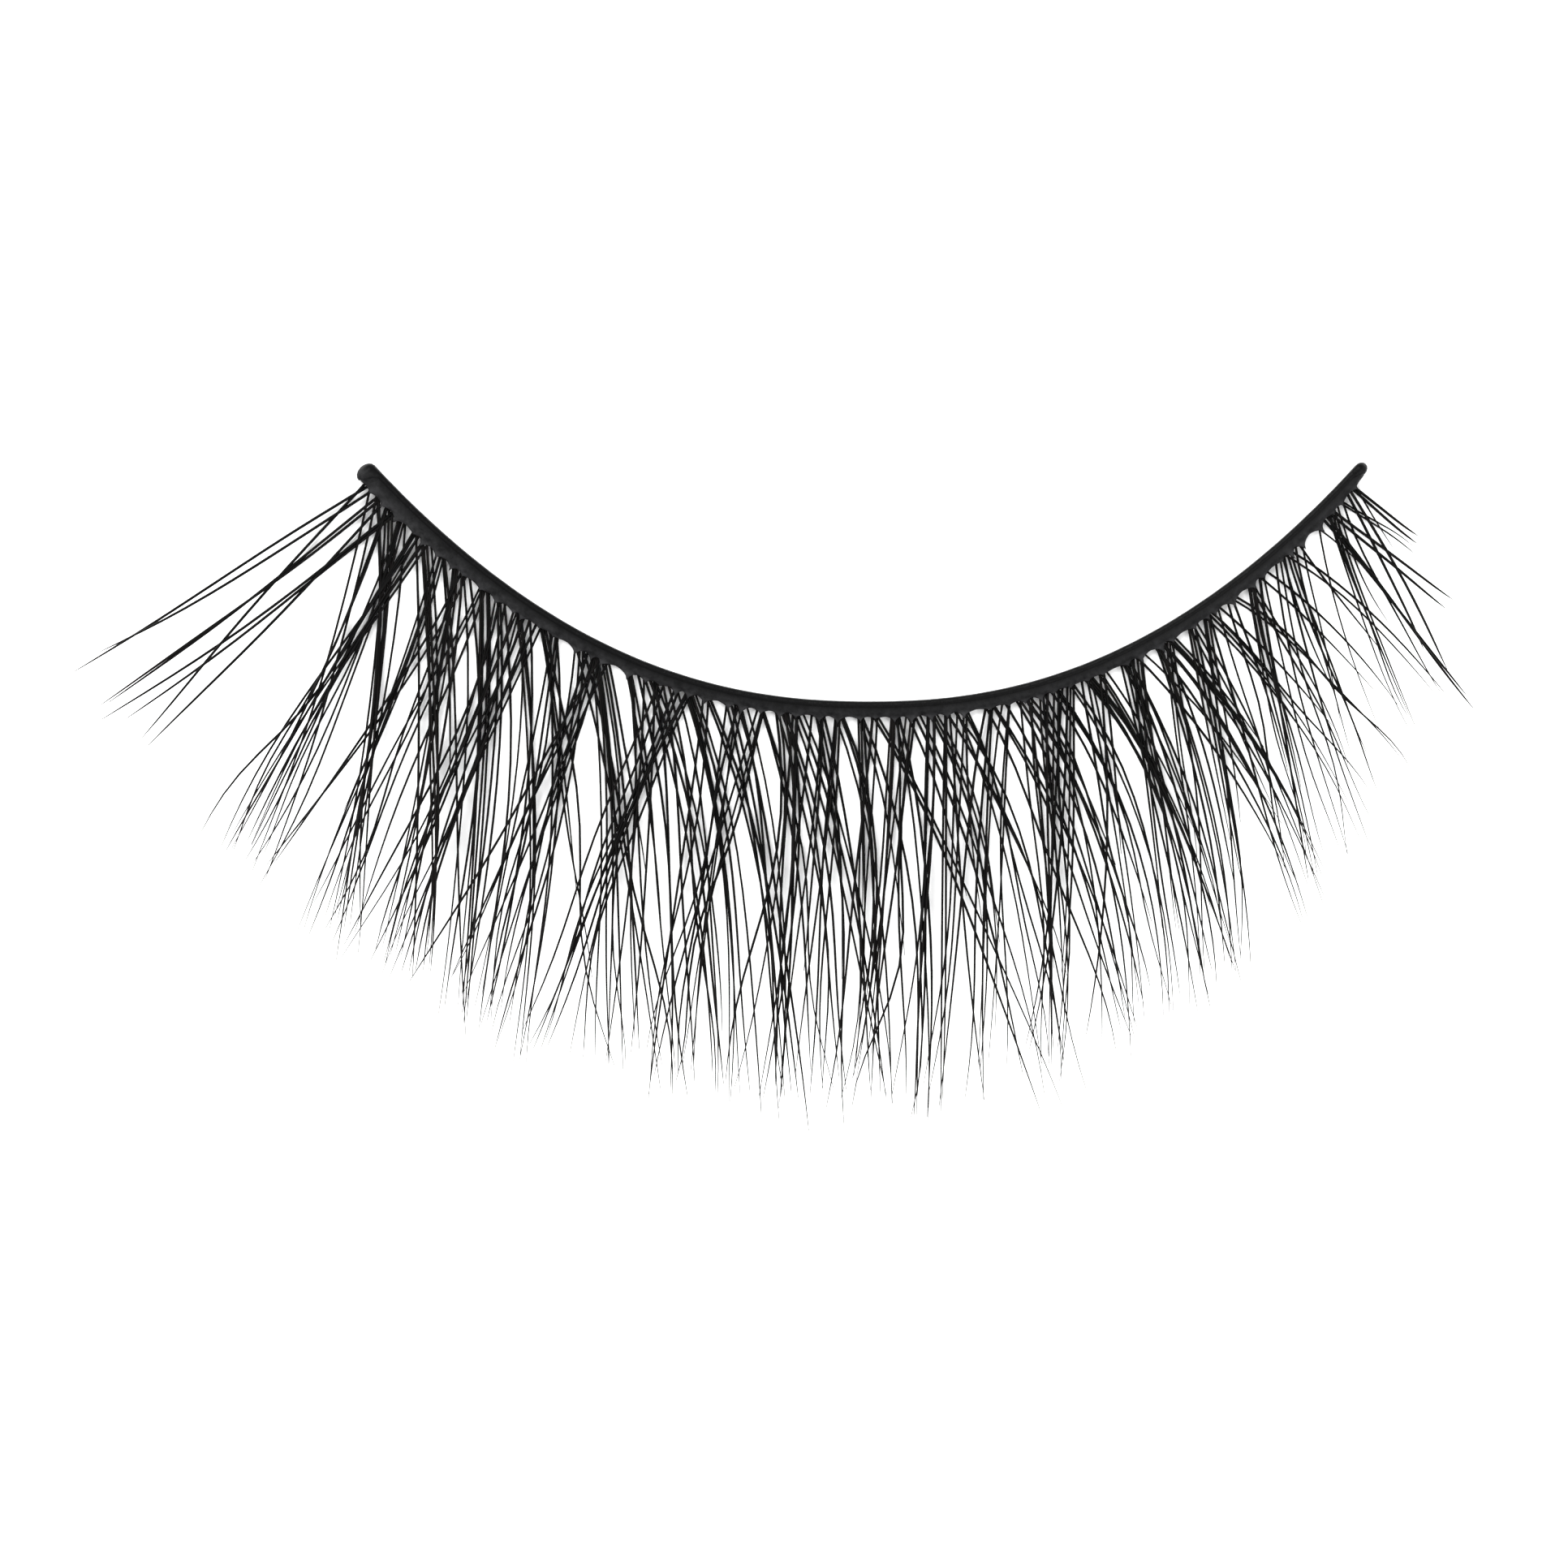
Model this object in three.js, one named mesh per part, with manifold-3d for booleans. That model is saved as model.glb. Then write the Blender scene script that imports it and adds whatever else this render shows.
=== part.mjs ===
// A false eyelash strip for one eye: a thin black band, bowed like the edge of an eyelid, and a
// fringe of curled hair locks that fans out from its outer side. It lies on its underside, as it
// does on a table, with the tips curling up.
//
// Millimetres, +Z up. The origin is on the band's flat underside, at the lowest point of its bow.
// -X is the outer corner of the eye, +X the inner corner, and the hair points to -Y.

import * as THREE from "three";
import Module from "manifold-3d";

// Bow of the band's hollow side, seen from above: y = bandRise * |x / half| ^ bandBowPower.
const bandOuterHalf = 14.9; // from the lowest point of the bow out to the outer corner
const bandInnerHalf = 14.6; // and in to the inner corner
const bandRise = 7.2; // how far the two ends lie behind the lowest point
const bandBowPower = 2.25; // 2 is a parabola, and more is flatter in the middle
const bandSteps = 56; // straight pieces along the band

// The spine is the thread that the hair is knotted to, with a bead of glue at each end.
const spineWidth = 0.24;
const spineHeight = 0.5;
const spineCorner = 0.07; // chamfer along its four long edges
const outerBeadLength = 0.6;
const outerBeadWidth = 0.68;
const outerBeadHeight = 0.6;
const innerBeadLength = 0.6;
const innerBeadWidth = 0.38;
const innerBeadHeight = 0.54;

// The root strip is the row of glued hair roots beside the spine. The locks are fused to it.
const rootStripWidth = 0.2;
const rootStripHeight = 0.46;
const rootStripCorner = 0.05;
const outerWebWidth = 0.14; // how much wider the strip is at the outer corner, where glue fills it
const outerWebLength = 9.0; // and how far in from there it has thinned to its plain width
const rootGap = 0.03; // between the spine and the root strip, and between a bead and the strip's end

// Locks of hair: tapered blades, side by side along the root strip.
const lockWidth = 0.66;
const lockSpacing = 0.19; // the bare arch between two locks at their roots
const lockThickness = 0.26;
const lockReach = 11.4; // longest lock, seen from above
const lockUneven = 0.04; // how far one lock's reach departs from its neighbours', as a share
const hairDip = THREE.MathUtils.degToRad(12); // the hair leaves the band this far below level
const hairCurl = THREE.MathUtils.degToRad(50); // and is this steep at its tip
const curlUneven = THREE.MathUtils.degToRad(7); // how far one lock's curl departs from its neighbours'

// How the fringe runs along the band, from the outer corner (0) to the inner corner (1).
// heading: degrees from -Y in plan, negative to the outer corner. reach: share of lockReach.
// sway: sideways bow of a lock, as a share of its own reach. fullness: share of lockWidth.
const fringeRun = [
  { along: 0.0, heading: -57, reach: 0.82, sway: -0.01, fullness: 0.45 },
  { along: 0.03, heading: -46, reach: 0.79, sway: -0.02, fullness: 0.7 },
  { along: 0.06, heading: -34, reach: 0.88, sway: -0.03, fullness: 1.0 },
  { along: 0.12, heading: -27, reach: 0.95, sway: -0.03, fullness: 1.0 },
  { along: 0.2, heading: -22, reach: 0.96, sway: -0.03, fullness: 1.0 },
  { along: 0.28, heading: -18, reach: 0.98, sway: -0.02, fullness: 1.0 },
  { along: 0.37, heading: -10, reach: 0.99, sway: -0.02, fullness: 1.0 },
  { along: 0.52, heading: -4, reach: 0.99, sway: 0.0, fullness: 1.0 },
  { along: 0.6, heading: 1, reach: 0.98, sway: 0.01, fullness: 1.0 },
  { along: 0.67, heading: 7, reach: 0.93, sway: 0.02, fullness: 1.0 },
  { along: 0.75, heading: 14, reach: 0.88, sway: 0.03, fullness: 1.0 },
  { along: 0.82, heading: 21, reach: 0.78, sway: 0.03, fullness: 1.0 },
  { along: 0.88, heading: 28, reach: 0.67, sway: 0.03, fullness: 0.95 },
  { along: 0.95, heading: 40, reach: 0.52, sway: 0.02, fullness: 0.85 },
  { along: 1.0, heading: 48, reach: 0.22, sway: 0.01, fullness: 0.6 },
];

// A lock from its root (0) to its tip (1): shares of its reach, lockWidth and lockThickness.
const lockSections = [
  { along: 0.0, width: 0.8, thickness: 0.8 },
  { along: 0.1, width: 0.94, thickness: 1.0 },
  { along: 0.26, width: 1.1, thickness: 1.25 },
  { along: 0.44, width: 1.14, thickness: 1.4 },
  { along: 0.62, width: 0.96, thickness: 1.3 },
  { along: 0.8, width: 0.6, thickness: 0.95 },
  { along: 0.93, width: 0.28, thickness: 0.5 },
  { along: 1.0, width: 0.06, thickness: 0.15 },
];

// A bead of glue from the band (0) to its rounded end (1): how much of it has swelled up from the
// plain spine, and how far its end has rounded off.
const beadSections = [
  { along: 0.0, swell: 0.0, round: 1.0 },
  { along: 0.06, swell: 0.85, round: 1.0 },
  { along: 0.45, swell: 1.0, round: 1.0 },
  { along: 0.74, swell: 1.0, round: 0.9 },
  { along: 0.92, swell: 1.0, round: 0.64 },
  { along: 1.0, swell: 1.0, round: 0.3 },
];

const blackGlue = new THREE.MeshStandardMaterial({ color: 0x0b0b0c, roughness: 0.42, metalness: 0 });
const blackHair = new THREE.MeshStandardMaterial({ color: 0x0d0c0c, roughness: 0.5, metalness: 0 });

// The hollow side of the band, from the outer corner to the inner one.
class BandBow extends THREE.Curve {
  getPoint(t, target = new THREE.Vector3()) {
    const x = THREE.MathUtils.lerp(-bandOuterHalf, bandInnerHalf, t);
    const half = x < 0 ? bandOuterHalf : bandInnerHalf;
    const y = bandRise * Math.abs(x / half) ** bandBowPower;
    return target.set(x, y + spineWidth / 2, 0);
  }
}

const bandBow = new BandBow();
bandBow.arcLengthDivisions = 800;
const bandLength = bandBow.getLength();
const rootStripStart = outerBeadLength + rootGap;
const rootStripEnd = bandLength - innerBeadLength - rootGap;

// The point at a length along the hollow side, and the way out of the band there.
function bandFrame(length) {
  const share = THREE.MathUtils.clamp(length / bandLength, 0, 1);
  const tangent = bandBow.getTangentAt(share);
  return {
    point: bandBow.getPointAt(share),
    tangent,
    outward: new THREE.Vector3(tangent.y, -tangent.x, 0),
  };
}

// A value between the rows of a table, by the rows' "along".
function tableValue(rows, along, column) {
  const next = rows.findIndex((row) => row.along >= along);
  if (next < 0) return rows[rows.length - 1][column];
  if (next === 0) return rows[0][column];
  const low = rows[next - 1];
  const high = rows[next];
  const share = (along - low.along) / (high.along - low.along);
  return THREE.MathUtils.lerp(low[column], high[column], share);
}

// A closed solid through rings of equally many points. Each ring turns the same way round.
function loft(rings) {
  const count = rings[0].length;
  const points = rings.flat();
  const faces = [];
  for (let r = 0; r + 1 < rings.length; r++) {
    for (let i = 0; i < count; i++) {
      const a = r * count + i;
      const b = r * count + ((i + 1) % count);
      faces.push(a, b + count, b, a, a + count, b + count);
    }
  }
  const last = (rings.length - 1) * count;
  for (let i = 1; i + 1 < count; i++) {
    faces.push(0, i, i + 1, last, last + i + 1, last + i);
  }
  const geometry = new THREE.BufferGeometry().setFromPoints(points);
  geometry.setIndex(faces);
  return geometry;
}

// A ring across the band: a box with chamfered corners, from near to far out of the hollow side.
function bandRing(frame, near, far, height, corner) {
  const outline = [
    [near, corner],
    [near + corner, 0],
    [far - corner, 0],
    [far, corner],
    [far, height - corner],
    [far - corner, height],
    [near + corner, height],
    [near, height - corner],
  ];
  return outline.map(([out, up]) =>
    frame.point.clone().addScaledVector(frame.outward, out).setZ(up),
  );
}

// The rings of one end's bead, from the band to the tip. It swells out on the hair side.
function beadRings(length, width, height, atLength) {
  return beadSections.slice(1).map(({ along, swell, round }) => {
    const wide = THREE.MathUtils.lerp(spineWidth, width, swell);
    const high = THREE.MathUtils.lerp(spineHeight, height, swell) * round;
    const trim = (wide * (1 - round)) / 2;
    const corner = Math.min(spineCorner + (wide - spineWidth) / 4, (wide * round) / 3, high / 3);
    return bandRing(bandFrame(atLength(along * length)), trim, wide - trim, high, corner);
  });
}

function makeSpine() {
  const plainStart = outerBeadLength;
  const plainEnd = bandLength - innerBeadLength;
  const outerBead = beadRings(
    outerBeadLength,
    outerBeadWidth,
    outerBeadHeight,
    (fromBand) => plainStart - fromBand,
  );
  const innerBead = beadRings(
    innerBeadLength,
    innerBeadWidth,
    innerBeadHeight,
    (fromBand) => plainEnd + fromBand,
  );
  const plain = [];
  for (let i = 0; i <= bandSteps; i++) {
    const frame = bandFrame(THREE.MathUtils.lerp(plainStart, plainEnd, i / bandSteps));
    plain.push(bandRing(frame, 0, spineWidth, spineHeight, spineCorner));
  }
  return loft([...outerBead.reverse(), ...plain, ...innerBead]);
}

function makeRootStrip() {
  const near = spineWidth + rootGap;
  const rings = [];
  for (let i = 0; i <= bandSteps; i++) {
    const length = THREE.MathUtils.lerp(rootStripStart, rootStripEnd, i / bandSteps);
    const web = THREE.MathUtils.clamp(1 - (length - rootStripStart) / outerWebLength, 0, 1);
    const far = near + rootStripWidth + web * outerWebWidth;
    rings.push(bandRing(bandFrame(length), near, far, rootStripHeight, rootStripCorner));
  }
  return loft(rings);
}

// A steady sequence between -1 and 1 that never settles into a rhythm, one value for each lock.
const goldenShare = (Math.sqrt(5) - 1) / 2;
const uneven = (index) => 2 * ((index * goldenShare) % 1) - 1;

// One lock's underside is an arc in a standing plane: it dips to the floor and curls up.
function makeLock(index, count) {
  const along = index / (count - 1);
  const inset = lockWidth / 2;
  const at = THREE.MathUtils.lerp(rootStripStart + inset, rootStripEnd - inset, along);
  const frame = bandFrame(at);
  const heading = THREE.MathUtils.degToRad(tableValue(fringeRun, along, "heading"));
  const reach = tableValue(fringeRun, along, "reach") * lockReach * (1 + lockUneven * uneven(index));
  const sway = tableValue(fringeRun, along, "sway") * reach;
  const fullness = tableValue(fringeRun, along, "fullness");
  const curl = hairCurl + curlUneven * uneven(index + count);
  const arcRadius = reach / (Math.sin(curl) + Math.sin(hairDip));
  const ahead = new THREE.Vector3(Math.sin(heading), -Math.cos(heading), 0);
  const aside = new THREE.Vector3(Math.cos(heading), Math.sin(heading), 0);
  const root = frame.point.clone().addScaledVector(frame.outward, spineWidth + rootGap + rootStripWidth / 2);

  const underside = (share) => {
    const slope = THREE.MathUtils.lerp(-hairDip, curl, share);
    const gone = arcRadius * (Math.sin(slope) + Math.sin(hairDip));
    const part = gone / reach;
    return root
      .clone()
      .addScaledVector(ahead, gone)
      .addScaledVector(aside, 4 * sway * part * (1 - part))
      .setZ(arcRadius * (1 - Math.cos(slope)));
  };

  const rings = lockSections.map((section) => {
    const nearby = 0.01;
    const tangent = underside(section.along + nearby).sub(underside(section.along - nearby)).normalize();
    const across = new THREE.Vector3(-tangent.y, tangent.x, 0).normalize();
    const up = tangent.clone().cross(across);
    const halfWidth = (section.width * fullness * lockWidth) / 2;
    const thickness = section.thickness * lockThickness;
    const outline = [
      [halfWidth, thickness / 2],
      [halfWidth / 2, 0],
      [-halfWidth / 2, 0],
      [-halfWidth, thickness / 2],
      [-halfWidth / 2, thickness],
      [halfWidth / 2, thickness],
    ];
    const base = underside(section.along);
    return outline.map(([side, rise]) =>
      base.clone().addScaledVector(across, side).addScaledVector(up, rise),
    );
  });
  return loft(rings);
}

const wasm = await Module();
wasm.setup();

function toSolid(geometry) {
  return new wasm.Manifold(
    new wasm.Mesh({
      numProp: 3,
      vertProperties: new Float32Array(geometry.getAttribute("position").array),
      triVerts: new Uint32Array(geometry.index.array),
    }),
  );
}

function toGeometry(solid) {
  const mesh = solid.getMesh();
  const geometry = new THREE.BufferGeometry();
  geometry.setAttribute("position", new THREE.BufferAttribute(mesh.vertProperties, 3));
  geometry.setIndex(new THREE.BufferAttribute(mesh.triVerts, 1));
  return geometry;
}

function makeFringe() {
  const run = rootStripEnd - rootStripStart;
  const lockCount = Math.floor((run + lockSpacing) / (lockWidth + lockSpacing));
  let fringe = toSolid(makeRootStrip());
  for (let i = 0; i < lockCount; i++) {
    fringe = fringe.add(toSolid(makeLock(i, lockCount)));
  }
  return toGeometry(fringe);
}

const eyelashStrip = new THREE.Group();

function addPiece(name, geometry, material) {
  const piece = new THREE.Mesh(geometry, material);
  piece.name = name;
  eyelashStrip.add(piece);
}

addPiece("spine", makeSpine(), blackGlue);
addPiece("fringe", makeFringe(), blackHair);

export default eyelashStrip;
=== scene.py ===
# Dresses the false eyelash strip: a glued band and about 350 single hairs over the CAD solids.
# Sizes in the dictionaries are millimetres and degrees. Meshes are made in metres.

import bisect
import math
import random

import bmesh
import bpy
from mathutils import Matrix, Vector


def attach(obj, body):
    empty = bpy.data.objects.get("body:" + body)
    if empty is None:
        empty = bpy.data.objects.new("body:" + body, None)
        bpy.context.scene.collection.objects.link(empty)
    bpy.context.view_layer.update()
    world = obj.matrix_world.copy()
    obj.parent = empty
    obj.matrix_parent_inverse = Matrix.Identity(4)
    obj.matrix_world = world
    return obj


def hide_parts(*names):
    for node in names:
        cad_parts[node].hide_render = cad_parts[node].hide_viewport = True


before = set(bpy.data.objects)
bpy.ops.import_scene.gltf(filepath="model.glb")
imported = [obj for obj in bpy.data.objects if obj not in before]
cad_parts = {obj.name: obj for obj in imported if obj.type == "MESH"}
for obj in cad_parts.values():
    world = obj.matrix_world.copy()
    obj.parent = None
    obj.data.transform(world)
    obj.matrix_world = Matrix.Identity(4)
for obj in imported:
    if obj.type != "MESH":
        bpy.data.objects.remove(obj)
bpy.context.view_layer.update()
millimetre = 0.001
print("frame loaded:", sorted(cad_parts))


# Camera, light and floor

cameraView = {
    "centreX": -2.56,  # what the middle of the picture looks at
    "centreY": -2.34,
    "pictureSide": 46.66,  # how much of the floor the square picture takes in
    "distance": 400.0,
    "sensor": 36.0,
    "clipStart": 10.0,
    "clipEnd": 10000.0,
}

studio = {
    "worldStrength": 1.55,
    "keyPower": 5.0,
    "keySize": 420.0,
    "keyPlace": (-260.0, 320.0, 620.0),
    "fillPower": 2.5,
    "fillSize": 520.0,
    "fillPlace": (330.0, -300.0, 560.0),
    "floorSide": 4000.0,
    "floorColour": (0.9, 0.9, 0.9, 1.0),
    "floorSpecular": 0.1,
    "floorRoughness": 0.85,  # and how much a slow noise adds to it
    "floorUneven": 0.1,
    "floorNoise": 40,
}


def makeCamera():
    camera = bpy.data.objects.new("camera", bpy.data.cameras.new("camera"))
    camera.data.sensor_width = cameraView["sensor"]
    camera.data.lens = cameraView["sensor"] * cameraView["distance"] / cameraView["pictureSide"]
    # It looks straight down, with the hair towards the bottom
    place = Vector((cameraView["centreX"], cameraView["centreY"], cameraView["distance"]))
    camera.location = place * millimetre
    camera.data.clip_start = cameraView["clipStart"] * millimetre
    camera.data.clip_end = cameraView["clipEnd"] * millimetre
    bpy.context.scene.collection.objects.link(camera)
    bpy.context.scene.camera = camera


def makeSoftbox(name, power, size, place):
    light = bpy.data.objects.new(name, bpy.data.lights.new(name, "AREA"))
    light.data.energy = power
    light.data.shape = "DISK"
    light.data.size = size * millimetre
    light.location = Vector(place) * millimetre
    light.rotation_euler = (-Vector(place)).to_track_quat("-Z", "Y").to_euler()
    bpy.context.scene.collection.objects.link(light)


def makeStudio():
    scene = bpy.context.scene
    scene.view_settings.view_transform = "Standard"  # a white floor stays white
    world = bpy.data.worlds.new("paleRoom")
    world.use_nodes = True
    background = world.node_tree.nodes["Background"]
    background.inputs["Color"].default_value = (1, 1, 1, 1)
    background.inputs["Strength"].default_value = studio["worldStrength"]
    scene.world = world
    makeSoftbox("keySoftbox", studio["keyPower"], studio["keySize"], studio["keyPlace"])
    makeSoftbox("fillSoftbox", studio["fillPower"], studio["fillSize"], studio["fillPlace"])


makeCamera()
makeStudio()
print("camera and studio ready")


# Shader maths: a wrapped socket, so that an expression on values adds its nodes

class Shade:
    def __init__(self, tree, socket=None):
        self.tree = tree
        self.socket = socket

    def node(self, kind, settings=None, values=None, output=0):
        made = self.tree.nodes.new("ShaderNode" + kind)
        for name, setting in (settings or {}).items():
            setattr(made, name, setting)
        for name, value in (values or {}).items():
            if isinstance(value, Shade):
                self.tree.links.new(value.socket, made.inputs[name])
            else:
                made.inputs[name].default_value = value
        return Shade(self.tree, made.outputs[output])

    def math(self, operation, first, second=0.0, clamp=False):
        settings = {"operation": operation, "use_clamp": clamp}
        return self.node("Math", settings, {0: first, 1: second})

    def __add__(self, other):
        return self.math("ADD", self, other)

    def __radd__(self, other):
        return self.math("ADD", other, self)

    def __sub__(self, other):
        return self.math("SUBTRACT", self, other)

    def __mul__(self, other):
        return self.math("MULTIPLY", self, other)

    def __rmul__(self, other):
        return self.math("MULTIPLY", other, self)

    def __pow__(self, other):
        return self.math("POWER", self, other)

    def clamped(self):
        return self.math("ADD", self, 0.0, clamp=True)

    def blendColour(self, low, high):
        return self.node("Mix", {"data_type": "RGBA"}, {0: self, 6: low, 7: high}, output=2)

    def attribute(self, name):
        return self.node("Attribute", {"attribute_name": name}, output=2)

    def noise(self, scale, detail=2.0, roughness=0.5):
        place = self.node("TexCoord", output=3)
        values = {"Vector": place, "Scale": scale, "Detail": detail, "Roughness": roughness}
        return self.node("TexNoise", {}, values)


def newMaterial(name):
    material = bpy.data.materials.new(name)
    material.use_nodes = True
    shader = material.node_tree.nodes["Principled BSDF"]
    return material, shader, Shade(material.node_tree)


def plug(shader, socketName, shade):
    shade.tree.links.new(shade.socket, shader.inputs[socketName])


def makeFloor():
    material, shader, shade = newMaterial("paleFloor")
    shader.inputs["Base Color"].default_value = studio["floorColour"]
    shader.inputs["Specular IOR Level"].default_value = studio["floorSpecular"]
    more = studio["floorUneven"] * shade.noise(studio["floorNoise"])
    plug(shader, "Roughness", studio["floorRoughness"] + more)
    bm = bmesh.new()
    half = studio["floorSide"] * millimetre / 2
    bmesh.ops.create_grid(bm, x_segments=1, y_segments=1, size=half)
    mesh = bpy.data.meshes.new("floor")
    bm.to_mesh(mesh)
    bm.free()
    mesh.materials.append(material)
    floor = bpy.data.objects.new("floor", mesh)
    bpy.context.scene.collection.objects.link(floor)


makeFloor()
print("floor laid")


# The band's bow and the places along it, as in the CAD

bow = {
    "outerHalf": 14.9,
    "innerHalf": 14.6,
    "rise": 7.2,
    "power": 2.25,
    "samples": 800,
}

thread = {
    "width": 0.24,
    "height": 0.5,
    "outerBeadLength": 0.6,
    "outerBeadWidth": 0.66,
    "outerBeadHeight": 0.6,
    "innerBeadLength": 0.6,
    "innerBeadWidth": 0.38,
    "innerBeadHeight": 0.54,
    "squareness": 0.62,  # 1 is an ellipse, and less is a rounded box
    "swellRun": 1.6,  # more makes a bead swell over a shorter stretch
    "endRun": 0.42,  # share of a bead over which its end is rounded off
    "endWidth": 0.05,  # shares of width and height that are left at the very end
    "endHeight": 0.25,
    "lumps": 0.012,  # share of the width, in two waves along the band
    "lumpWaves": (5.1, 2.3),
    "sides": 20,
    "stationPitch": 0.12,
    "endStations": (6, 91, 12),  # degrees round a bead's end: first, limit and step
}

roots = {
    "gap": 0.03,  # the CAD's clearance between thread and root strip
    "overlap": 0.14,  # how far the glue of the roots runs over the thread
    "outerSink": 0.5,  # share of each bead that the strip's end is sunk in
    "innerSink": 0.4,
    "width": 0.2,
    "height": 0.49,
    "outerWebWidth": 0.14,
    "outerWebLength": 9.0,
    "innerTaper": 1.4,  # the strip narrows to this far from its inner end
    "innerClear": 0.02,  # and stays this much inside the bead there
    "squareness": 0.7,
    "sides": 28,
    "stripShare": 0.8,  # the rest of a ring's points shape the glue's points
    "stationsPerKnot": 12,
    "knots": 62,
    "endRoom": 0.1,  # from the end of the strip to the first knot
    "knotWander": 0.7,  # how far a knot may lie off its place, as a share of the pitch
    "web": (0.05, 0.34),  # the glue's points, out along each tuft of hair
    "webAtEnds": 0.25,  # share of that at the very ends, and how far in it is whole
    "webWhole": 2.5,
    "startReach": 0.02,  # the glue's edge at the strip's outer end
    "archPower": 0.8,  # less makes the arches between the points wider
    "underside": 0.03,
    "edgeLow": 0.12,  # the glue thins towards the hair
    "edgeHigh": 0.38,
    "edgePower": 1.5,
    "edgeRound": 0.09,
    "webHeight": 0.13,  # how thick the points are
    "webRound": 0.05,
}


def mix(low, high, share):
    return low + (high - low) * share


def bowPoint(share):
    x = mix(-bow["outerHalf"], bow["innerHalf"], share)
    half = bow["outerHalf"] if x < 0 else bow["innerHalf"]
    return Vector((x, bow["rise"] * abs(x / half) ** bow["power"] + thread["width"] / 2, 0))


bowPoints = [bowPoint(i / bow["samples"]) for i in range(bow["samples"] + 1)]
bowLengths = [0.0]
for before, after in zip(bowPoints, bowPoints[1:]):
    bowLengths.append(bowLengths[-1] + (after - before).length)
bandLength = bowLengths[-1]
stripStart = thread["outerBeadLength"] + roots["gap"]
stripEnd = bandLength - thread["innerBeadLength"] - roots["gap"]


def bandPlace(length):  # the point on the hollow side, and the way out of the band towards the hair
    step = min(max(bisect.bisect_right(bowLengths, length) - 1, 0), bow["samples"] - 1)
    before, after = bowPoints[step], bowPoints[step + 1]
    tangent = (after - before).normalized()
    point = before + tangent * (length - bowLengths[step])
    return point, Vector((tangent.y, -tangent.x, 0))


def placeKnots():
    chance = random.Random(11)
    first = stripStart + roots["endRoom"]
    pitch = (stripEnd - roots["endRoom"] - first) / (roots["knots"] - 1)
    places = []
    for number in range(roots["knots"]):
        wander = 0
        if 0 < number < roots["knots"] - 1:
            wander = chance.uniform(-0.5, 0.5) * roots["knotWander"]
        places.append(first + (number + wander) * pitch)
    return places


knotPlaces = placeKnots()


def rounded(value, squareness):
    return math.copysign(abs(value) ** squareness, value)


def sweepAlongBand(name, stations, ringPoint, sides):
    # A capped ring is pushed along the band, station by station. ringPoint gives how far out of the
    # hollow side and how high a point of the ring lies.
    bm = bmesh.new()
    alongLayer = bm.verts.layers.float.new("alongBand")
    acrossLayer = bm.verts.layers.float.new("acrossBand")
    bmesh.ops.create_circle(bm, cap_ends=True, segments=sides, radius=millimetre)
    bm.faces.ensure_lookup_table()
    cap = bm.faces[0]
    for number, length in enumerate(stations):
        if number:
            pushed = bmesh.ops.extrude_face_region(bm, geom=[cap])["geom"]
            if number > 1:  # only the very first cap stays
                bmesh.ops.delete(bm, geom=[cap], context="FACES_ONLY")
            cap = next(part for part in pushed if isinstance(part, bmesh.types.BMFace))
        point, outward = bandPlace(length)
        for turn, vert in enumerate(cap.verts):
            out, up = ringPoint(length, 2 * math.pi * turn / sides)
            vert.co = (point + outward * out + Vector((0, 0, up))) * millimetre
            vert[alongLayer] = length
            vert[acrossLayer] = out
    bmesh.ops.recalc_face_normals(bm, faces=bm.faces)
    for face in bm.faces:
        face.smooth = True
    mesh = bpy.data.meshes.new(name)
    bm.to_mesh(mesh)
    bm.free()
    piece = bpy.data.objects.new(name, mesh)
    bpy.context.scene.collection.objects.link(piece)
    return piece


# The thread that the hair is knotted to, with a bead of glue at each end

def threadStations():
    outer = thread["outerBeadLength"]
    inner = thread["innerBeadLength"]
    rounds = [1 - math.cos(math.radians(turn)) for turn in range(*thread["endStations"])]
    count = round((bandLength - outer - inner) / thread["stationPitch"])
    plain = [mix(outer, bandLength - inner, i / count) for i in range(count + 1)]
    outerEnd = [outer * share for share in rounds]
    innerEnd = [bandLength - inner * share for share in reversed(rounds)]
    return outerEnd + plain[1:-1] + innerEnd


def beadShare(length):  # how far a bead has swelled, how rounded off its end is, and which bead
    outer = length / thread["outerBeadLength"]
    inner = (bandLength - length) / thread["innerBeadLength"]
    nearest = min(outer, inner)
    if nearest >= 1:
        return 0.0, 1.0, "outer"
    swell = 0.5 - 0.5 * math.cos(math.pi * min(1, thread["swellRun"] * (1 - nearest)))
    end = math.sqrt(max(0, 1 - max(0, 1 - nearest / thread["endRun"]) ** 2))
    return swell, max(end, thread["endWidth"]), "outer" if outer < inner else "inner"


def threadRing(length, turn):
    swell, end, bead = beadShare(length)
    width = mix(thread["width"], thread[bead + "BeadWidth"], swell)
    height = mix(thread["height"], thread[bead + "BeadHeight"], swell)
    fast, slow = thread["lumpWaves"]
    lumps = thread["lumps"] * math.sin(fast * length) * math.sin(slow * length + 1)
    halfWidth = width / 2 * end * (1 + lumps)
    halfHeight = height / 2 * mix(end, 1, thread["endHeight"])
    out = width / 2 + halfWidth * rounded(math.cos(turn), thread["squareness"])
    up = halfHeight + halfHeight * rounded(math.sin(turn), thread["squareness"])
    return out, up


gluedThread = sweepAlongBand("glued_thread", threadStations(), threadRing, thread["sides"])
print("thread swept:", len(gluedThread.data.polygons), "faces")


# The row of glued roots: a knot for each tuft, with rounded arches of glue between them

def webReaches():
    chance = random.Random(23)
    rooms = [min(place - stripStart, stripEnd - place) for place in knotPlaces]
    shares = [min(1, roots["webAtEnds"] + room / roots["webWhole"]) for room in rooms]
    return [chance.uniform(*roots["web"]) * share for share in shares]


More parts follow.
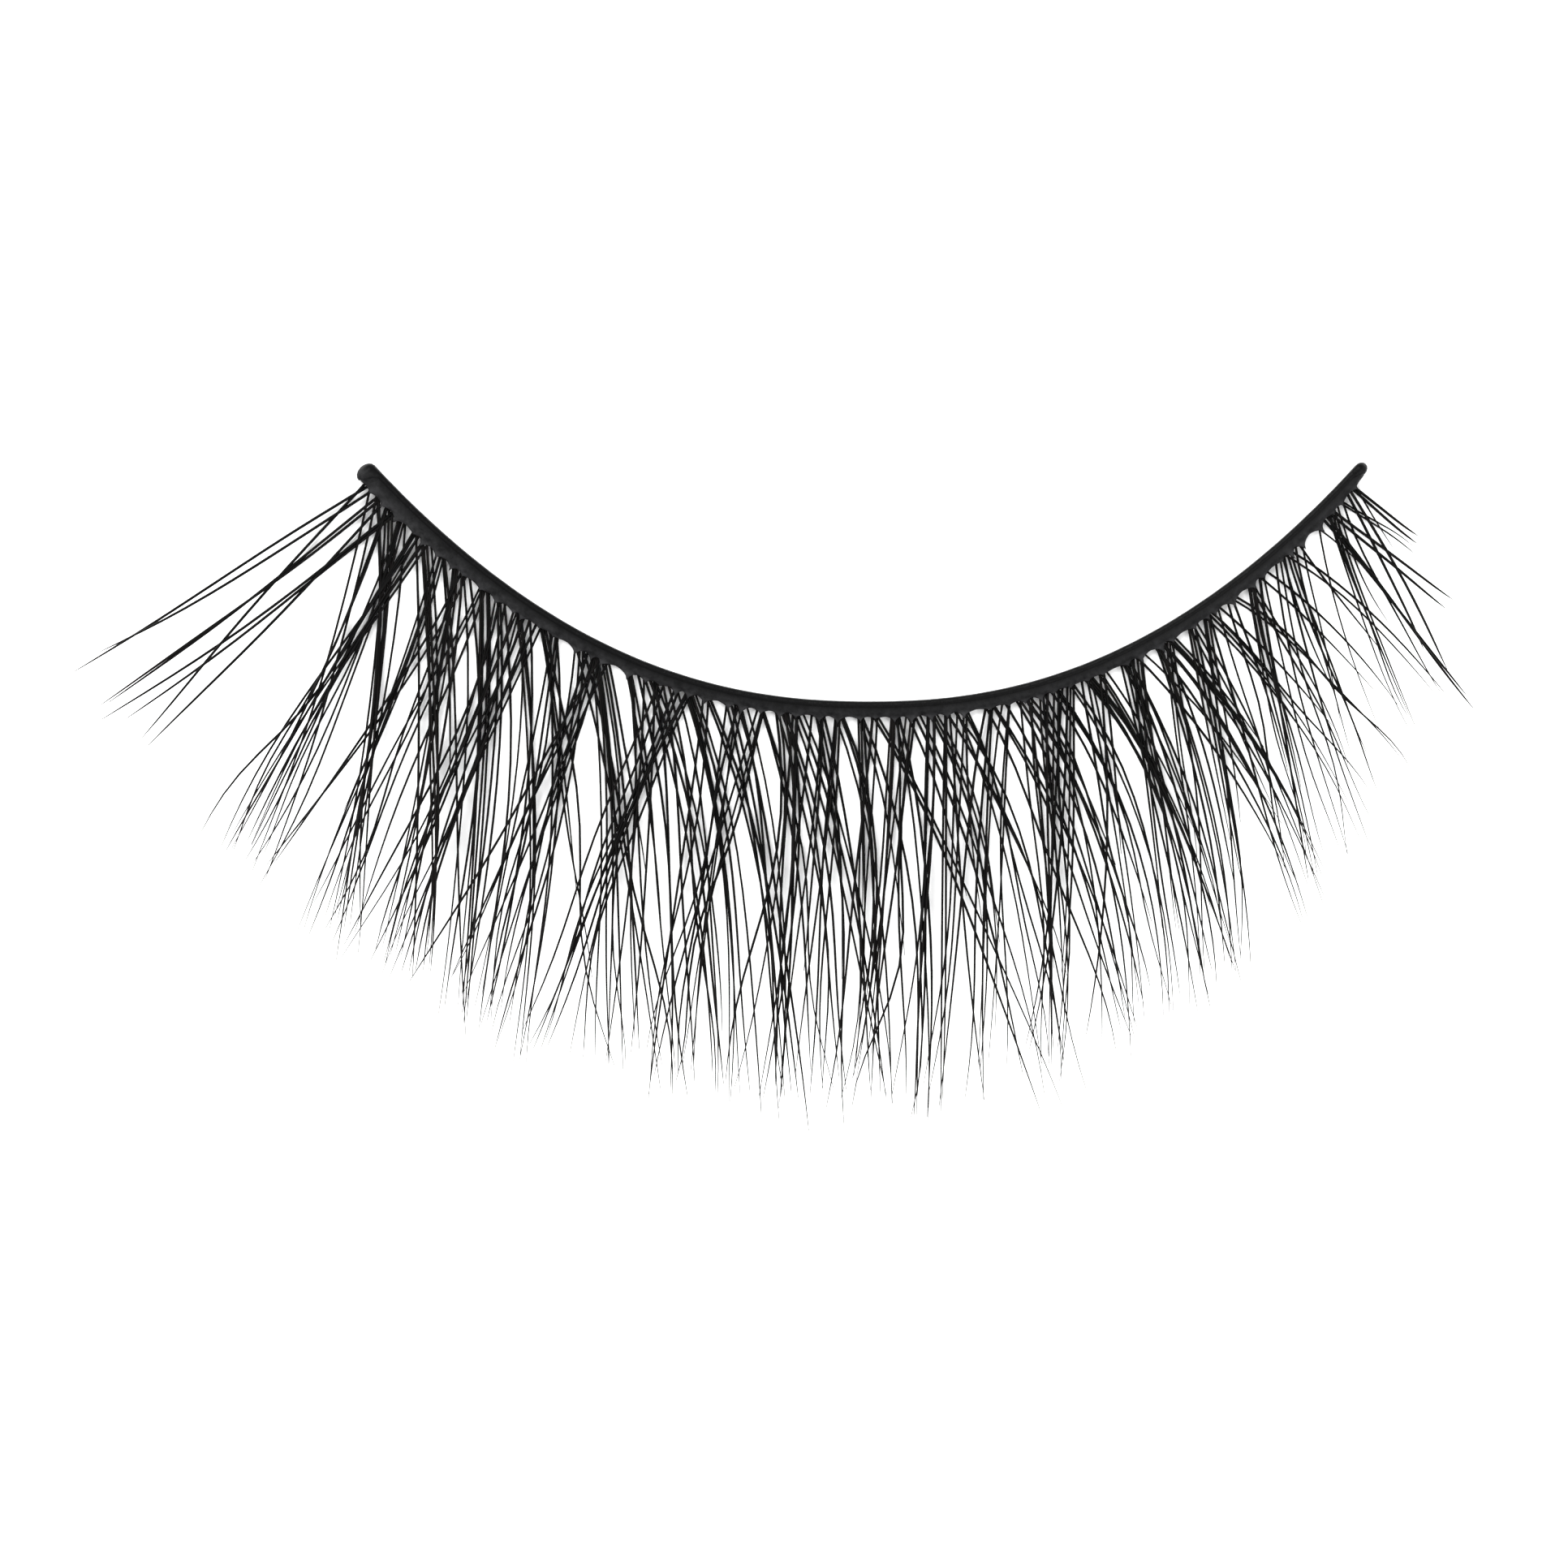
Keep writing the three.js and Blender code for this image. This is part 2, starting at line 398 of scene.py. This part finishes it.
webReach = webReaches()
rootsStart = thread["outerBeadLength"] * roots["outerSink"]
rootsEnd = bandLength - thread["innerBeadLength"] * roots["innerSink"]


def rootStations():
    edges = [rootsStart] + knotPlaces + [rootsEnd]
    count = roots["stationsPerKnot"]
    stations = []
    for low, high in zip(edges, edges[1:]):
        stations += [mix(low, high, i / count) for i in range(count)]
    return stations + [rootsEnd]


def glueEdge(length):  # how far the glue's edge runs out past the strip
    number = bisect.bisect_right(knotPlaces, length)
    low = knotPlaces[number - 1] if number else rootsStart
    high = knotPlaces[number] if number < len(knotPlaces) else rootsEnd
    share = (length - low) / (high - low)
    lowReach = webReach[number - 1] if number else roots["startReach"]
    highReach = webReach[number] if number < len(knotPlaces) else 0.0
    # A round arch with its feet on the knots
    arch = 1 - math.sqrt(max(0, 1 - (2 * share - 1) ** 2))
    return arch ** roots["archPower"] * mix(lowReach, highReach, share)


def roundedOff(share):  # from 0 on an edge to 1 where the rounding ends
    return math.sqrt(1 - min(1, max(0, 1 - share)) ** 2)


def rootRing(length, turn):
    web = min(1, max(0, 1 - (length - stripStart) / roots["outerWebLength"]))
    near = thread["width"] - roots["overlap"]
    full = roots["overlap"] + roots["gap"] + roots["width"] + web * roots["outerWebWidth"]
    slim = thread["innerBeadWidth"] - near - roots["innerClear"]
    plain = mix(slim, full, min(1, max(0, (rootsEnd - length) / roots["innerTaper"])) ** 0.5)
    share = 0.5 + 0.5 * rounded(math.cos(turn), roots["squareness"])
    reach = glueEdge(length)
    wide = plain + reach
    ownShare = roots["stripShare"]
    out = plain * min(1, share / ownShare) + reach * max(0, share - ownShare) / (1 - ownShare)
    across = min(1, out / plain)
    high = mix(roots["height"], roots["edgeHigh"], across ** roots["edgePower"])
    low = mix(roots["underside"], roots["edgeLow"], across ** roots["edgePower"])
    strip = roundedOff(min(out, plain - out) / roots["edgeRound"]) * (high - low) / 2
    point = roundedOff(min(out, wide - out) / roots["webRound"]) * roots["webHeight"] / 2
    return near + out, (low + high) / 2 + math.copysign(max(strip, point), math.sin(turn))


gluedRoots = sweepAlongBand("glued_roots", rootStations(), rootRing, roots["sides"])
print("roots swept:", len(gluedRoots.data.polygons), "faces")


# The hair: tufts leave each knot both ways, cross their neighbours and gather into curled locks

hair = {
    "lockWidth": 0.66,
    "lockSpacing": 0.19,
    "reach": 11.4,  # longest lock, seen from above
    "reachUneven": 0.04,
    "dip": 12.0,  # below level at the root
    "curl": 50.0,  # above level at the tip
    "curlUneven": 7.0,
    "thickness": 0.077,
    "thickUneven": 0.14,
    "fineness": 0.78,  # share of the thickness that the shortest hairs tend to
    "taper": (2.0, 4.8),  # 1 thins evenly, and more keeps the thickness for longer
    "taperRun": (1.35, 0.7),  # how that changes from the outer corner to the inner one
    "rootFlare": 0.1,  # glue drawn up a hair's root, as a share of its thickness
    "tipThickness": 0.22,
    "steps": 12,
    "sides": 5,
    "perTuft": (2.9, 2.95),  # at the outer corner and at the inner one
    "perTuftUneven": 1.2,
    "rootHeight": 0.24,
    "rootDepth": 0.4,  # share of the strip of roots that the hairs start inside
    # How far along the band a tuft's lock lies, to the outer corner and to the inner one, and how
    # many times as far to the outer one at that corner, fading to the middle
    "outerLean": (0.2, 2.0),
    "innerLean": (0.2, 1.7),
    "cornerLean": 1.8,
    # From either end to where the tufts lie. Past it there are only single hairs.
    "clearEnds": (2.75, 0.3),
    "placeWander": (0.1, 0.9),  # where in its own share of the band a tuft lies
    "steepest": 4.5,  # a tuft that leans this many millimetres takes the whole lock to join it
    # Degrees a tuft may head past its lock, at the outer corner and from the middle on, the share
    # of it that is drawn, and the share by which every tuft heads further out
    "splay": (15.0, 4.5),
    "splayShare": (-0.1, 1),
    "outerBias": 0.2,
    "rootSpread": (0.09, 0.25),  # half the stretch of band that a tuft leaves from
    "joinsAt": (0.22, 0.6),  # share of the lock over which a tuft has mostly joined it
    "gathering": 0.38,  # 0 leaves the tufts evenly spread, and 1 puts each in the middle of a lock
    "bundleSpread": (0.2, 0.56),  # half the width of a tuft once it has joined its lock
    "layer": 0.14,  # tufts that lean out pass over those that lean in
    "innerLayer": 0.3,  # share of it for those that lean in
    "layerEnd": 0.8,  # share of the lock where the layers are level again
    "seatUneven": 0.04,
    "tipDrift": 0.3,
    "tuftDrift": 0.4,
    "wiggle": 0.17,
    "waves": (0.5, 1.4),
    "lift": (0, 0.25),
    "strayChance": 0.1,
    "strayDrift": 0.7,
    "bend": (0.95, 1.07),
    "length": (0.95, 1.07),
    "shortLength": (0.45, 0.92),
    "shortChance": (0.03, 0.6),  # at the outer corner and at the inner one
    # The single hairs at the ends
    "endDepth": 0.1,  # they start this far back in the band
    "endJoinsAt": 0.3,
    "endThickness": 1.2,
    "endTaper": 6,
    "endWaves": 0.8,
}

# From the outer corner (0) to the inner corner (1): degrees from -Y, and shares of reach and width
fringeRun = [
    {"along": 0.0, "heading": -57, "reach": 0.82, "sway": -0.01, "fullness": 0.45},
    {"along": 0.03, "heading": -46, "reach": 0.79, "sway": -0.02, "fullness": 0.7},
    {"along": 0.06, "heading": -34, "reach": 0.88, "sway": -0.03, "fullness": 1.0},
    {"along": 0.12, "heading": -27, "reach": 0.95, "sway": -0.03, "fullness": 1.0},
    {"along": 0.2, "heading": -22, "reach": 0.96, "sway": -0.03, "fullness": 1.0},
    {"along": 0.28, "heading": -18, "reach": 0.98, "sway": -0.02, "fullness": 1.0},
    {"along": 0.37, "heading": -10, "reach": 0.99, "sway": -0.02, "fullness": 1.0},
    {"along": 0.52, "heading": -4, "reach": 0.99, "sway": 0.0, "fullness": 1.0},
    {"along": 0.6, "heading": 1, "reach": 0.98, "sway": 0.01, "fullness": 1.0},
    {"along": 0.67, "heading": 7, "reach": 0.93, "sway": 0.02, "fullness": 1.0},
    {"along": 0.75, "heading": 14, "reach": 0.88, "sway": 0.03, "fullness": 1.0},
    {"along": 0.82, "heading": 21, "reach": 0.78, "sway": 0.03, "fullness": 1.0},
    {"along": 0.88, "heading": 28, "reach": 0.67, "sway": 0.03, "fullness": 0.95},
    {"along": 0.95, "heading": 40, "reach": 0.52, "sway": 0.02, "fullness": 0.85},
    {"along": 1.0, "heading": 48, "reach": 0.22, "sway": 0.01, "fullness": 0.6},
]

# Single hairs at the two ends: millimetres from that end, degrees from -Y, share of reach
endHairs = [
    {"end": "outer", "from": 0.62, "heading": -57.0, "reach": 0.92, "sway": -0.01},
    {"end": "outer", "from": 0.78, "heading": -58.5, "reach": 0.84, "sway": 0.01},
    {"end": "outer", "from": 0.42, "heading": -41.0, "reach": 0.9, "sway": -0.01},
    {"end": "outer", "from": 1.0, "heading": -51.5, "reach": 0.9, "sway": 0.0},
    {"end": "outer", "from": 1.1, "heading": -53.0, "reach": 0.92, "sway": 0.01},
    {"end": "outer", "from": 1.2, "heading": -43.0, "reach": 0.9, "sway": 0.0},
    {"end": "outer", "from": 1.65, "heading": -53.5, "reach": 0.95, "sway": 0.01},
    {"end": "outer", "from": 1.75, "heading": -52.0, "reach": 0.9, "sway": 0.0},
    {"end": "inner", "from": 0.75, "heading": 52.0, "reach": 0.22, "sway": 0.0},
    {"end": "inner", "from": 0.82, "heading": 49.0, "reach": 0.23, "sway": 0.0},
    {"end": "inner", "from": 0.86, "heading": 28.0, "reach": 0.54, "sway": 0.02},
    {"end": "inner", "from": 0.98, "heading": 25.0, "reach": 0.46, "sway": 0.02},
    {"end": "inner", "from": 1.7, "heading": 53.0, "reach": 0.4, "sway": 0.0},
    {"end": "inner", "from": 1.8, "heading": 50.0, "reach": 0.4, "sway": 0.0},
    {"end": "inner", "from": 1.9, "heading": 36.5, "reach": 0.64, "sway": 0.01},
    {"end": "inner", "from": 2.05, "heading": 38.0, "reach": 0.6, "sway": 0.02},
]


def fringeValue(along, column):
    for low, high in zip(fringeRun, fringeRun[1:]):
        if along <= high["along"]:
            share = (along - low["along"]) / (high["along"] - low["along"])
            return mix(low[column], high[column], max(share, 0))
    return fringeRun[-1][column]


def uneven(index):  # the CAD's steady sequence between -1 and 1
    return 2 * ((index * (math.sqrt(5) - 1) / 2) % 1) - 1


stripLength = stripEnd - stripStart
lockPitch = hair["lockWidth"] + hair["lockSpacing"]
lockCount = math.floor((stripLength + hair["lockSpacing"]) / lockPitch)
firstLock = stripStart + hair["lockWidth"] / 2
lastLock = stripEnd - hair["lockWidth"] / 2


def nearestLock(at):
    share = min(max((at - firstLock) / (lastLock - firstLock), 0), 1)
    return round(share * (lockCount - 1))


def lockAt(at, splay=0):  # the run of a lock that leaves the band there, as in the CAD
    index = nearestLock(at)
    along = min(max((at - firstLock) / (lastLock - firstLock), 0), 1)
    point, outward = bandPlace(at)
    heading = math.radians(fringeValue(along, "heading") + splay)
    reach = fringeValue(along, "reach") * hair["reach"] * (1 + hair["reachUneven"] * uneven(index))
    curl = math.radians(hair["curl"] + hair["curlUneven"] * uneven(index + lockCount))
    dip = math.radians(hair["dip"])
    return {
        "root": point + outward * (thread["width"] + roots["gap"] + roots["width"] / 2),
        "ahead": Vector((math.sin(heading), -math.cos(heading), 0)),
        "aside": Vector((math.cos(heading), math.sin(heading), 0)),
        "reach": reach,
        "sway": fringeValue(along, "sway") * reach,
        "along": along,
        "fullness": fringeValue(along, "fullness"),
        "radius": reach / (math.sin(curl) + math.sin(dip)),
        "turn": curl + dip,
    }


def makeHair(lock, root, tuft, single):
    dip = math.radians(hair["dip"])
    radius = lock["radius"] * single["bend"]
    turn = lock["turn"] * single["length"] / single["bend"]
    offset = root - lock["root"]
    size = min(1, lock["reach"] / hair["reach"])  # a short lock's hairs part and cross less
    rest = math.exp(-1 / tuft["joinsAt"])
    points = []
    for step in range(hair["steps"] + 1):
        slope = -dip + turn * step / hair["steps"]
        gone = radius * (math.sin(slope) + math.sin(dip))
        part = gone / lock["reach"]
        apart = (math.exp(-part / tuft["joinsAt"]) - rest) / (1 - rest)
        side = 4 * lock["sway"] * part * (1 - part)
        side += size * (single["seat"] * (1 - apart) + single["drift"] * part ** 2)
        wave = math.sin(2 * math.pi * (single["waves"] * part + single["phase"]))
        side += size * single["wiggle"] * part * wave
        height = radius * (1 - math.cos(slope))
        height += (hair["rootHeight"] - radius * (1 - math.cos(dip))) * (1 - min(part, 1)) ** 3
        layer = tuft["layer"] * math.sin(math.pi * min(1, part / hair["layerEnd"]))
        height += size * (layer + single["lift"] * part)
        place = lock["root"] + offset * apart + lock["ahead"] * gone + lock["aside"] * side
        place.z = max(height, 0) + single["thickness"] / 2
        points.append(place)
    return {"points": points, "thickness": single["thickness"], "taper": single["taper"]}


def placeTufts(chance):
    # Each knot sends one tuft towards each corner. In the order of where they want to end up, the
    # tufts are then given evenly spaced places, so that the hair is spread evenly. A place has its
    # knot, where its lock leaves the band, and the side that it leans to.
    wanted = []
    for number, knot in enumerate(knotPlaces):
        for lean in (-1, 1):
            share = (uneven(2 * number + (lean > 0)) + 1) / 2
            leaned = mix(*hair["outerLean" if lean < 0 else "innerLean"], share)
            if lean < 0:
                leaned *= mix(hair["cornerLean"], 1, min(1, 2 * knot / bandLength))
            wanted.append((knot + leaned * lean, knot, lean))
    wanted.sort()
    first, last = firstLock + hair["clearEnds"][0], lastLock - hair["clearEnds"][1]
    placed = []
    for number, (target, knot, lean) in enumerate(wanted):
        place = (number + chance.uniform(*hair["placeWander"])) / len(wanted)
        placed.append((knot, mix(first, last, place), lean))
    return placed


def makeTuft(chance, knot, target, lean, hairs):
    leaned = abs(target - knot)
    middle = mix(firstLock, lastLock, nearestLock(target) / (lockCount - 1))
    fullness = lockAt(middle)["fullness"]
    splay = mix(*hair["splay"], min(1, 2 * target / bandLength))
    splay *= lean * chance.uniform(*hair["splayShare"]) - hair["outerBias"]
    gathered = 1 - (1 - hair["gathering"]) * fullness ** 2  # thin locks stand apart
    lock = lockAt(mix(target, middle, gathered), splay)
    plenty = mix(*hair["perTuft"], lock["along"])
    more = hair["perTuftUneven"]
    count = round(plenty * fullness ** 2 + chance.uniform(-more, more))
    joinsAt = max(chance.uniform(*hair["joinsAt"]), leaned / hair["steepest"])
    tuft = {
        "joinsAt": joinsAt * hair["reach"] / lock["reach"],
        "layer": hair["layer"] * (1 if lean < 0 else hair["innerLayer"]) * chance.uniform(0.5, 1),
    }
    rootSpread = chance.uniform(*hair["rootSpread"])
    tuftDrift = chance.gauss(0, hair["tuftDrift"])
    fineness = mix(hair["fineness"], 1, min(1, lock["reach"] / hair["reach"]))
    bundleSpread = chance.uniform(*hair["bundleSpread"])
    for turn in range(count):
        # Its place from side to side of the tuft
        order = (2 * turn + 1 + chance.uniform(-1, 1)) / count - 1
        point, outward = bandPlace(knot + order * rootSpread)
        inside = roots["width"] * hair["rootDepth"]
        root = point + outward * (thread["width"] + roots["gap"] + inside)
        stray = chance.random() < hair["strayChance"]
        short = chance.random() < mix(*hair["shortChance"], lock["along"] ** 2)
        single = {
            "bend": chance.uniform(*hair["bend"]),
            "length": chance.uniform(*hair["shortLength" if short else "length"]),
            "seat": order * bundleSpread + chance.gauss(0, hair["seatUneven"]),
            "drift": tuftDrift + chance.gauss(0, hair["strayDrift" if stray else "tipDrift"]),
            "wiggle": chance.gauss(0, hair["wiggle"]),
            "waves": chance.uniform(*hair["waves"]),
            "phase": chance.random(),
            "lift": chance.uniform(*hair["lift"]),
        }
        thick = 1 + hair["thickUneven"] * chance.uniform(-1, 1)
        single["thickness"] = hair["thickness"] * fineness * thick
        single["taper"] = chance.uniform(*hair["taper"]) * mix(*hair["taperRun"], lock["along"])
        hairs.append(makeHair(lock, root, tuft, single))


def makeEndHair(chance, row):
    lock = lockAt(row["from"] if row["end"] == "outer" else bandLength - row["from"])
    heading = math.radians(row["heading"])
    reach = row["reach"] * hair["reach"]
    lock["root"] = lock["root"] - lock["ahead"] * hair["endDepth"]
    lock["ahead"] = Vector((math.sin(heading), -math.cos(heading), 0))
    lock["aside"] = Vector((math.cos(heading), math.sin(heading), 0))
    lock["radius"] *= reach / lock["reach"]
    lock["sway"] = row["sway"] * reach
    lock["reach"] = reach
    tuft = {"joinsAt": hair["endJoinsAt"], "layer": hair["layer"] * chance.uniform(0.3, 1)}
    single = {
        "bend": 1,
        "length": 1,
        "seat": 0,
        "drift": 0,
        "wiggle": hair["wiggle"] / 2,
        "waves": hair["endWaves"],
        "phase": chance.random(),
        "lift": chance.uniform(*hair["lift"]),
        "thickness": hair["thickness"] * hair["endThickness"],
        "taper": hair["endTaper"],
    }
    return makeHair(lock, lock["root"], tuft, single)


def makeFringe():
    chance = random.Random(5)
    hairs = [makeEndHair(chance, row) for row in endHairs]
    for knot, target, lean in placeTufts(chance):
        makeTuft(chance, knot, target, lean, hairs)
    return hairs


def thinned(strand, share):  # how thick a hair is along it
    flare = hair["rootFlare"] * (1 - share) ** 6
    return strand["thickness"] * (1 + flare - (1 - hair["tipThickness"]) * share ** strand["taper"])


def hairRing(strand, step):  # the ring of points round a hair at one of its steps
    points = strand["points"]
    ahead = (points[min(step + 1, hair["steps"])] - points[max(step - 1, 0)]).normalized()
    aside = ahead.cross(Vector((0, 0, 1))).normalized()
    above = aside.cross(ahead)
    radius = thinned(strand, step / hair["steps"]) / 2
    ring = []
    for side in range(hair["sides"]):
        turn = 2 * math.pi * side / hair["sides"]
        ring.append(points[step] + (aside * math.cos(turn) + above * math.sin(turn)) * radius)
    return ring


def hairMesh(name, hairs):
    # A capped ring is made for each hair, and then all are pushed along their hairs together
    bm = bmesh.new()
    alongLayer = bm.verts.layers.float.new("alongHair")
    shadeLayer = bm.verts.layers.float.new("hairShade")
    numberLayer = bm.faces.layers.int.new("hairNumber")
    chance = random.Random(3)
    shades = [chance.random() for strand in hairs]
    for number in range(len(hairs)):
        made = bmesh.ops.create_circle(bm, cap_ends=True, segments=hair["sides"], radius=millimetre)
        made["verts"][0].link_faces[0][numberLayer] = number
    caps = list(bm.faces)
    for step in range(hair["steps"] + 1):
        if step:
            pushed = bmesh.ops.extrude_face_region(bm, geom=caps)["geom"]
            if step > 1:  # only the very first caps stay
                bmesh.ops.delete(bm, geom=caps, context="FACES_ONLY")
            caps = [part for part in pushed if isinstance(part, bmesh.types.BMFace)]
        for cap in caps:
            number = cap[numberLayer]
            for vert, place in zip(cap.verts, hairRing(hairs[number], step)):
                vert.co = place * millimetre
                vert[alongLayer] = step / hair["steps"]
                vert[shadeLayer] = shades[number]
    bmesh.ops.recalc_face_normals(bm, faces=bm.faces)
    for face in bm.faces:
        face.smooth = True
    mesh = bpy.data.meshes.new(name)
    bm.to_mesh(mesh)
    bm.free()
    piece = bpy.data.objects.new(name, mesh)
    bpy.context.scene.collection.objects.link(piece)
    return piece


hairs = makeFringe()
fringeHair = hairMesh("fringe_hair", hairs)
print("fringe made:", len(hairs), "hairs,", len(fringeHair.data.polygons), "faces")


# Finishes

glueFinish = {
    "edge": (0.0012, 0.0012, 0.0013, 1),  # the glossy hollow edge
    "dark": (0.006, 0.006, 0.0063, 1),
    "pale": (0.023, 0.023, 0.024, 1),
    "edgeRoughness": 0.28,
    "bodyRoughness": 0.5,
    "blotchRoughness": 0.12,  # what the pale blotches add
    "blotchNoise": 3500,
    "grainNoise": 9000,
    "grainShare": 0.3,  # of the bump
    "bumpDepth": 0.02,
    "bumpStrength": 0.8,
    "specular": 0.055,
}

hairFinish = {
    "black": (0.0008, 0.0008, 0.0008, 1),
    "brown": (0.0042, 0.0036, 0.0034, 1),
    "tip": (0.008, 0.007, 0.0067, 1),
    "roughness": 0.34,
    "roughUneven": 0.14,  # from hair to hair, and again along each hair
    "streakNoise": 1800,
    "specular": 0.04,
}


def makeGlueFinish():
    material, shader, shade = newMaterial("satinBlackGlue")
    across = shade.attribute("acrossBand")
    blotches = (shade.noise(glueFinish["blotchNoise"], detail=5, roughness=0.65) * 3 - 1).clamped()
    grain = shade.noise(glueFinish["grainNoise"])
    body = (across * 2.8 - 0.5).clamped()  # 0 on the hollow edge, 1 over the glued roots
    colour = blotches.blendColour(glueFinish["dark"], glueFinish["pale"])
    plug(shader, "Base Color", body.blendColour(glueFinish["edge"], colour))
    spread = glueFinish["bodyRoughness"] - glueFinish["edgeRoughness"]
    rough = glueFinish["edgeRoughness"] + body * spread + glueFinish["blotchRoughness"] * blotches
    plug(shader, "Roughness", rough)
    grainShare = glueFinish["grainShare"]
    height = blotches * (1 - grainShare) + grain * grainShare
    bump = shade.node("Bump", {}, {
        "Height": height,
        "Distance": glueFinish["bumpDepth"] * millimetre,
        "Strength": glueFinish["bumpStrength"],
    })
    plug(shader, "Normal", bump)
    shader.inputs["Specular IOR Level"].default_value = glueFinish["specular"]
    return material


def makeHairFinish():
    material, shader, shade = newMaterial("blackHair")
    along = shade.attribute("alongHair")
    tone = shade.attribute("hairShade")
    streak = shade.noise(hairFinish["streakNoise"], detail=3)
    browned = (tone * tone * streak * 1.6).clamped()
    colour = browned.blendColour(hairFinish["black"], hairFinish["brown"])
    plug(shader, "Base Color", (along ** 3).blendColour(colour, hairFinish["tip"]))
    more = hairFinish["roughUneven"]
    plug(shader, "Roughness", hairFinish["roughness"] + more * tone + more * streak)
    shader.inputs["Specular IOR Level"].default_value = hairFinish["specular"]
    return material


glueMaterial = makeGlueFinish()
gluedThread.data.materials.append(glueMaterial)
gluedRoots.data.materials.append(glueMaterial)
fringeHair.data.materials.append(makeHairFinish())
print("finishes ready")

for piece in (gluedThread, gluedRoots, fringeHair):
    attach(piece, "root")
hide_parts("spine")
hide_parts("fringe")
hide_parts("fringe")
